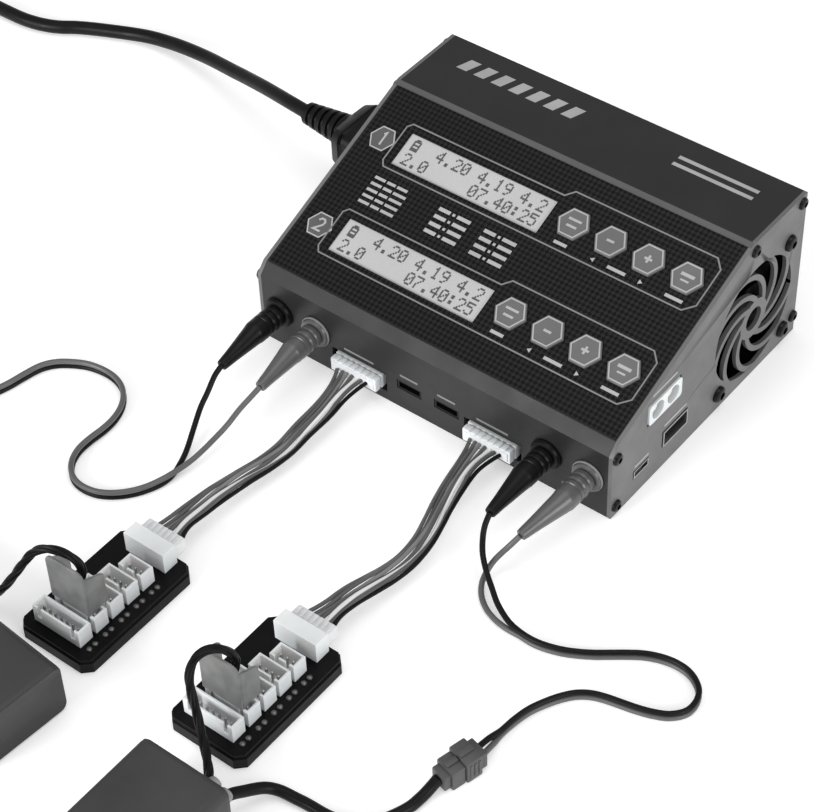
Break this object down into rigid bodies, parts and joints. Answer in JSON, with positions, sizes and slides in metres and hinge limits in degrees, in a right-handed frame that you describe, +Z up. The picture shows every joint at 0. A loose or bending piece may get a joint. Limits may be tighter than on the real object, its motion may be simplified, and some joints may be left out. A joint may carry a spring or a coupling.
{
  "type": "battery charging set with two lithium packs",
  "caption": "Bench charger with sloped control face, fan, mains lead and charge leads, joined by balance boards and ribbon leads to soft-cased lithium battery packs.",
  "frame": {"origin": "centre of the underside of the charger's case", "axes": "+X runs right along the charger's front, +Y runs from its front to its back, +Z is up"},
  "size_m": [0.5307, 0.3905, 0.0632],
  "materials": {
    "case_paint": "satin powder coat, dark grey",
    "panel_paint": "satin powder coat, mid grey",
    "overlay_film": "printed film with a fine woven pattern",
    "lcd_screen": "clear window over a pale display",
    "key_cap": "soft satin",
    "circuit_board": "green lacquered board",
    "switch_body": "moulded",
    "winding_tape": "wound tape",
    "capacitor_sleeve": "shrunk sleeve",
    "sink_aluminium": "extruded, plain",
    "fan_plastic": "moulded black",
    "screw_black": "black oxide",
    "foot_rubber": "matt",
    "black_plastic": "moulded, low gloss",
    "red_plastic": "moulded, translucent red",
    "white_nylon": "natural moulded nylon",
    "port_steel": "plated shell",
    "cord_black": "flexible insulation, satin",
    "cord_red": "flexible insulation, satin",
    "ribbon_wires": "flexible insulation, one white and one black edge wire",
    "connector_grey": "moulded",
    "board_black": "black lacquered board on a foam pad",
    "clip_clear": "frosted, lets light through",
    "cell_foil": "laminated pouch foil",
    "pack_sleeve": "shrunk film, satin"
  },
  "bodies": {
    "root": {"top_cover": "case_paint", "base_plate": "case_paint", "left_panel": "panel_paint", "right_panel": "panel_paint", "control_overlay": "overlay_film", "lcd_1": "lcd_screen", "lcd_2": "lcd_screen", "key_switches": "switch_body", "display_board": "circuit_board", "main_board": "circuit_board", "transformer": "winding_tape", "capacitors": "capacitor_sleeve", "heat_sinks": "sink_aluminium", "fan_frame": "fan_plastic", "case_screws": "screw_black", "fan_screws": "screw_black", "feet": "foot_rubber", "output_sockets_black": "black_plastic", "output_sockets_red": "red_plastic", "balance_sockets": "white_nylon", "temperature_sockets": "black_plastic", "data_ports": "port_steel", "dc_input": "white_nylon", "mains_inlet": "black_plastic", "mains_plug": "black_plastic", "mains_cord": "cord_black", "mains_coil": "cord_black", "wall_plug": "black_plastic", "charge_plugs_black": "black_plastic", "charge_plugs_red": "red_plastic", "charge_lead_1_black": "cord_black", "charge_lead_1_red": "cord_red", "charge_lead_2_black": "cord_black", "charge_lead_2_red": "cord_red", "charge_connectors": "connector_grey", "balance_lead_1": "ribbon_wires", "balance_lead_2": "ribbon_wires", "balance_plugs": "white_nylon", "board_1": "board_black", "board_2": "board_black", "board_sockets": "white_nylon", "pack_1_cells": "cell_foil", "pack_2_cells": "cell_foil", "pack_1_sleeve": "pack_sleeve", "pack_2_sleeve": "pack_sleeve", "pack_1_power_lead": "cord_black", "pack_2_power_lead": "cord_black", "pack_connectors": "connector_grey", "pack_1_balance_lead": "cord_black", "pack_2_balance_lead": "cord_black", "pack_balance_clips": "clip_clear"},
    "mode_key_1": {"mode_key_1": "key_cap"},
    "down_key_1": {"down_key_1": "key_cap"},
    "up_key_1": {"up_key_1": "key_cap"},
    "enter_key_1": {"enter_key_1": "key_cap"},
    "mode_key_2": {"mode_key_2": "key_cap"},
    "down_key_2": {"down_key_2": "key_cap"},
    "up_key_2": {"up_key_2": "key_cap"},
    "enter_key_2": {"enter_key_2": "key_cap"},
    "fan_rotor": {"fan_rotor": "fan_plastic"}
  },
  "joints": [
    {"name": "mode_key_1_press", "type": "slide", "parent": "root", "child": "mode_key_1", "axis": [0, 0.3689, -0.9295], "range_m": [0, 0.0005], "stiffness_N_per_m": 800},
    {"name": "down_key_1_press", "type": "slide", "parent": "root", "child": "down_key_1", "axis": [0, 0.3689, -0.9295], "range_m": [0, 0.0005], "stiffness_N_per_m": 800},
    {"name": "up_key_1_press", "type": "slide", "parent": "root", "child": "up_key_1", "axis": [0, 0.3689, -0.9295], "range_m": [0, 0.0005], "stiffness_N_per_m": 800},
    {"name": "enter_key_1_press", "type": "slide", "parent": "root", "child": "enter_key_1", "axis": [0, 0.3689, -0.9295], "range_m": [0, 0.0005], "stiffness_N_per_m": 800},
    {"name": "mode_key_2_press", "type": "slide", "parent": "root", "child": "mode_key_2", "axis": [0, 0.3689, -0.9295], "range_m": [0, 0.0005], "stiffness_N_per_m": 800},
    {"name": "down_key_2_press", "type": "slide", "parent": "root", "child": "down_key_2", "axis": [0, 0.3689, -0.9295], "range_m": [0, 0.0005], "stiffness_N_per_m": 800},
    {"name": "up_key_2_press", "type": "slide", "parent": "root", "child": "up_key_2", "axis": [0, 0.3689, -0.9295], "range_m": [0, 0.0005], "stiffness_N_per_m": 800},
    {"name": "enter_key_2_press", "type": "slide", "parent": "root", "child": "enter_key_2", "axis": [0, 0.3689, -0.9295], "range_m": [0, 0.0005], "stiffness_N_per_m": 800},
    {"name": "fan_spin", "type": "hinge", "parent": "root", "child": "fan_rotor", "pos_m": [0.066, 0.0272, 0.0271], "axis": [1, 0, 0], "continuous": true}
  ]
}
